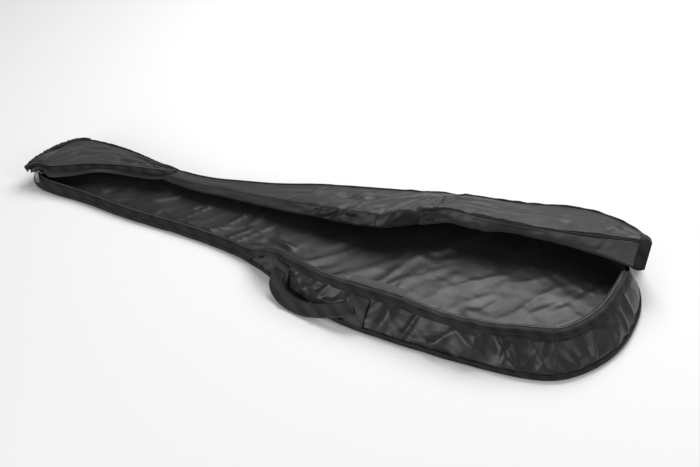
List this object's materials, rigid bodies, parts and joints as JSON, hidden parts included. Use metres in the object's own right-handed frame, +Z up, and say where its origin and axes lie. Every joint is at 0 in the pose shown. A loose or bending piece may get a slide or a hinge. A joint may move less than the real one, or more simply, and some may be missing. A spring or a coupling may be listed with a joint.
{
  "type": "padded gig bag",
  "caption": "Long soft padded carrying bag for a bass guitar, lying open on its back panel with the zipped lid folded back over its hinge side.",
  "frame": {"origin": "on the underside of the back panel, at the middle of the bag's length and of its body's width", "axes": "+X from the head end to the tail end, +Y from the zipped side to the hinge side, +Z up from the surface the bag lies on"},
  "size_m": [1.2329, 0.5198, 0.0985],
  "materials": {
    "outer_nylon": "satin woven nylon",
    "inner_lining": "smooth woven nylon with a soft sheen",
    "padding_foam": "closed-cell foam",
    "zip_tape": "herringbone woven tape",
    "zip_coil": "moulded nylon coil",
    "edge_binding": "ribbed binding tape",
    "webbing": "ribbed flat webbing",
    "slider_metal": "worn plated zinc"
  },
  "bodies": {
    "lower_bag": {"back_panel_binding": "edge_binding", "back_panel_foam": "padding_foam", "back_panel_lining": "inner_lining", "back_panel_shell": "outer_nylon", "handle_anchor_head_side": "webbing", "handle_anchor_tail_side": "webbing", "head_cover_foam": "padding_foam", "head_cover_lining": "inner_lining", "head_cover_shell": "outer_nylon", "head_cover_zip_tape": "zip_tape", "head_end_wall_foam": "padding_foam", "head_end_wall_lining": "inner_lining", "head_end_wall_shell": "outer_nylon", "hinge_side_body_wall_foam": "padding_foam", "hinge_side_body_wall_lining": "inner_lining", "hinge_side_body_wall_shell": "outer_nylon", "hinge_side_neck_wall_foam": "padding_foam", "hinge_side_neck_wall_lining": "inner_lining", "hinge_side_neck_wall_shell": "outer_nylon", "inner_tab": "inner_lining", "lid_hinge_leaf_foam": "padding_foam", "lid_hinge_leaf_lining": "inner_lining", "lid_hinge_leaf_shell": "outer_nylon", "lower_zip_coil": "zip_coil", "lower_zip_neck_coil": "zip_coil", "lower_zip_neck_tape": "zip_tape", "lower_zip_side_tape": "zip_tape", "lower_zip_tail_tape": "zip_tape", "neck_lid_drape_foam": "padding_foam", "neck_lid_drape_lining": "inner_lining", "neck_lid_drape_shell": "outer_nylon", "neck_lid_lower_foam": "padding_foam", "neck_lid_lower_lining": "inner_lining", "neck_lid_lower_shell": "outer_nylon", "neck_lid_upper_foam": "padding_foam", "neck_lid_upper_lining": "inner_lining", "neck_lid_upper_shell": "outer_nylon", "tail_wall_foam": "padding_foam", "tail_wall_lining": "inner_lining", "tail_wall_shell": "outer_nylon", "zip_bottom_stop": "zip_coil", "zip_side_body_wall_foam": "padding_foam", "zip_side_body_wall_lining": "inner_lining", "zip_side_body_wall_shell": "outer_nylon", "zip_side_neck_wall_foam": "padding_foam", "zip_side_neck_wall_lining": "inner_lining", "zip_side_neck_wall_shell": "outer_nylon"},
    "lid_top_leaf": {"lid_top_leaf_foam": "padding_foam", "lid_top_leaf_lining": "inner_lining", "lid_top_leaf_shell": "outer_nylon", "lid_tail_zip_tape": "zip_tape"},
    "lid_drop_leaf": {"lid_drop_leaf_foam": "padding_foam", "lid_drop_leaf_lining": "inner_lining", "lid_drop_leaf_shell": "outer_nylon", "lid_gusset_strip": "outer_nylon", "upper_zip_tape": "zip_tape", "upper_zip_coil": "zip_coil"},
    "handle": {"handle_webbing": "webbing"},
    "zip_slider": {"zip_slider_body": "slider_metal"},
    "zip_pull": {"zip_pull_tab": "slider_metal"}
  },
  "joints": [
    {"name": "lid_fold", "type": "hinge", "parent": "lower_bag", "child": "lid_top_leaf", "pos_m": [0.15, 0.092, 0.082], "axis": [1, 0, 0], "range_deg": [0, 201.5]},
    {"name": "lid_drop_fold", "type": "hinge", "parent": "lid_top_leaf", "child": "lid_drop_leaf", "pos_m": [0.15, 0.21402, 0.04253], "axis": [1, 0, 0], "range_deg": [0, 18.5]},
    {"name": "handle_swing", "type": "hinge", "parent": "lower_bag", "child": "handle", "pos_m": [0.01273, -0.16447, 0.041], "axis": [0.9775, -0.2111, 0], "range_deg": [-125, 0]},
    {"name": "zip_travel", "type": "slide", "parent": "lower_bag", "child": "zip_slider", "axis": [0.9964, -0.0847, 0], "range_m": [0, 0.18]},
    {"name": "zip_pull_swing", "type": "hinge", "parent": "zip_slider", "child": "zip_pull", "pos_m": [-0.58529, -0.08489, 0.0377], "axis": [0.9964, -0.0847, 0], "range_deg": [-95, 0]}
  ],
  "couplings": [
    {"joint": "lid_drop_fold", "follows": "lid_fold", "ratio": 0.091811}
  ]
}
